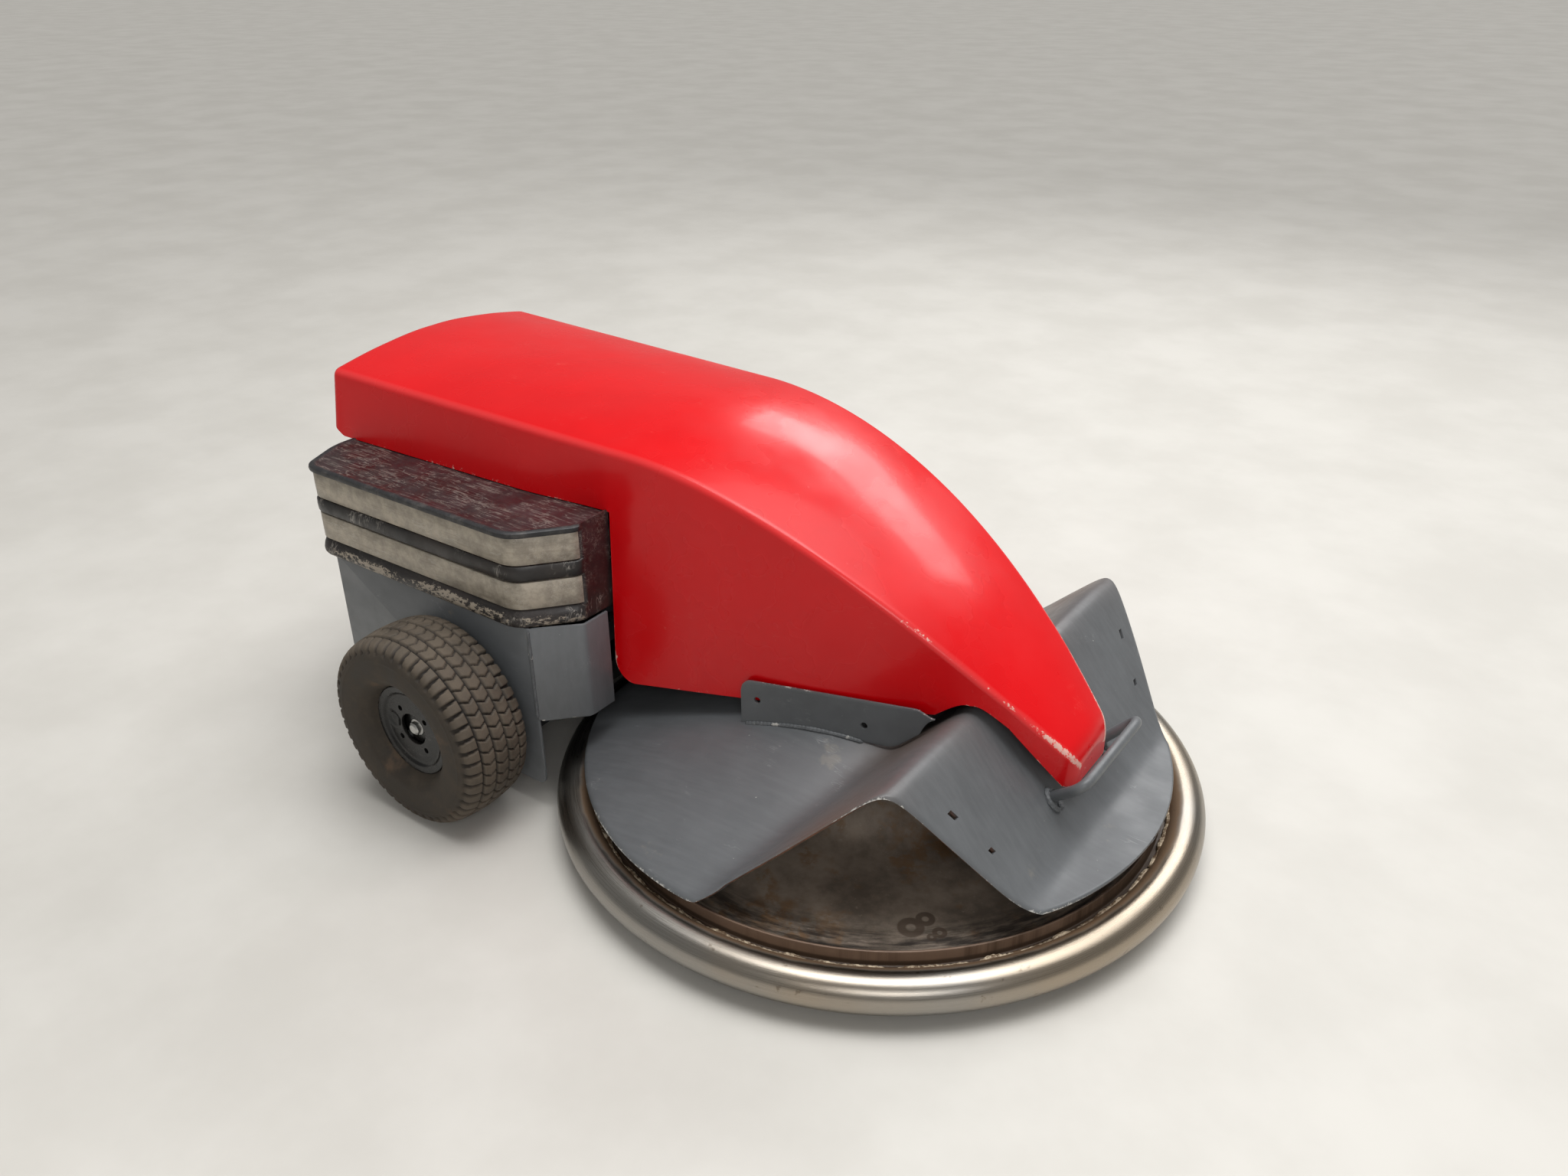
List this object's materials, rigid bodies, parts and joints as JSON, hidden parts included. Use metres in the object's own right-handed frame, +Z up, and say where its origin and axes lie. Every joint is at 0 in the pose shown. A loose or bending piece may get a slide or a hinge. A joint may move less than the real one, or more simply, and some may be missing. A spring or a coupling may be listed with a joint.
{
  "type": "floor sweeping robot",
  "caption": "Self-propelled sweeping machine: low turning ring and disc under a ridged guard sheet, long tapering hood, side boxes and rear drive tyres.",
  "frame": {"origin": "middle of the whole machine's box, on the floor", "axes": "+X the way it drives, +Y its left side, +Z up"},
  "size_m": [1.293, 0.898, 0.547],
  "materials": {
    "grey_paint": "satin grey paint, brushed on, chipped at edges",
    "frame_paint": "matt dark grey paint",
    "battery_case": "black moulded battery case",
    "zinc_plate": "dull zinc-plated steel",
    "control_case": "light grey enclosure",
    "side_box_paint": "scraped black over maroon paint",
    "worn_steel": "dirty worn stainless strip",
    "gearbox_cast": "cast housing",
    "motor_paint": "dark motor paint",
    "machined_steel": "machined steel",
    "gear_steel": "oiled gear steel",
    "rim_paint": "gloss black paint",
    "tyre_rubber": "dusty block-tread tyre",
    "rusted_steel": "rubbed brown rusted steel",
    "bare_ring_steel": "bare brushed steel tube with heat tint",
    "caster_core": "cast caster core",
    "caster_rubber": "caster tyre",
    "red_paint": "gloss red paint"
  },
  "bodies": {
    "frame": {"side_plate_left": "grey_paint", "side_plate_right": "grey_paint", "rear_plate": "grey_paint", "floor_pan": "frame_paint", "front_plate_left": "grey_paint", "front_plate_right": "grey_paint", "rail_left": "frame_paint", "rail_right": "frame_paint", "cross_tubes": "frame_paint", "bearing_plate": "frame_paint", "battery_tray": "frame_paint", "battery_left": "battery_case", "battery_right": "battery_case", "battery_strap": "zinc_plate", "control_box": "control_case", "control_lid": "zinc_plate", "side_box_left": "side_box_paint", "side_box_right": "side_box_paint", "strips_left": "worn_steel", "strips_right": "worn_steel", "guard_sheet": "grey_paint", "guard_posts": "grey_paint", "flange_left": "grey_paint", "flange_right": "grey_paint", "nose_bar": "grey_paint", "gearbox_left": "gearbox_cast", "gearbox_right": "gearbox_cast", "drive_motor_left": "motor_paint", "drive_motor_right": "motor_paint", "spindle": "machined_steel", "disc_motor": "motor_paint"},
    "wheel_left": {"shaft_left": "machined_steel", "hub_left": "rim_paint", "rim_left": "rim_paint", "tyre_left": "tyre_rubber", "wheel_bolts_left": "machined_steel"},
    "wheel_right": {"shaft_right": "machined_steel", "hub_right": "rim_paint", "rim_right": "rim_paint", "tyre_right": "tyre_rubber", "wheel_bolts_right": "machined_steel"},
    "disc": {"bearing_upper": "machined_steel", "bearing_lower": "machined_steel", "disc_hub": "gear_steel", "disc_gear": "gear_steel", "disc_plate": "rusted_steel", "disc_ring": "bare_ring_steel", "disc_bolts": "machined_steel"},
    "motor_pinion": {"pinion": "gear_steel"},
    "caster_swivel": {"caster_fork": "machined_steel", "caster_axle": "machined_steel"},
    "caster_roller": {"caster_wheel": "caster_core", "caster_tyre": "caster_rubber"},
    "hood": {"hood_shell": "red_paint", "hood_ribs": "red_paint"}
  },
  "joints": [
    {"name": "left_wheel_spin", "type": "hinge", "parent": "frame", "child": "wheel_left", "pos_m": [-0.29149, 0.3, 0.142], "axis": [0, 1, 0], "continuous": true},
    {"name": "right_wheel_spin", "type": "hinge", "parent": "frame", "child": "wheel_right", "pos_m": [-0.29149, -0.3, 0.142], "axis": [0, 1, 0], "continuous": true},
    {"name": "disc_spin", "type": "hinge", "parent": "frame", "child": "disc", "pos_m": [0.19749, 0, 0.1], "axis": [0, 0, 1], "continuous": true},
    {"name": "pinion_spin", "type": "hinge", "parent": "frame", "child": "motor_pinion", "pos_m": [0.08339, 0, 0.16], "axis": [0, 0, 1], "continuous": true},
    {"name": "caster_turn", "type": "hinge", "parent": "frame", "child": "caster_swivel", "pos_m": [0.19749, 0, 0.12], "axis": [0, 0, 1], "continuous": true},
    {"name": "caster_roll", "type": "hinge", "parent": "caster_swivel", "child": "caster_roller", "pos_m": [0.16949, 0, 0.04], "axis": [0, 1, 0], "continuous": true},
    {"name": "hood_tilt", "type": "hinge", "parent": "frame", "child": "hood", "pos_m": [0.52949, 0, 0.198], "axis": [0, 1, 0], "range_deg": [0, 50]}
  ],
  "couplings": [
    {"joint": "pinion_spin", "follows": "disc_spin", "ratio": -3.75}
  ]
}
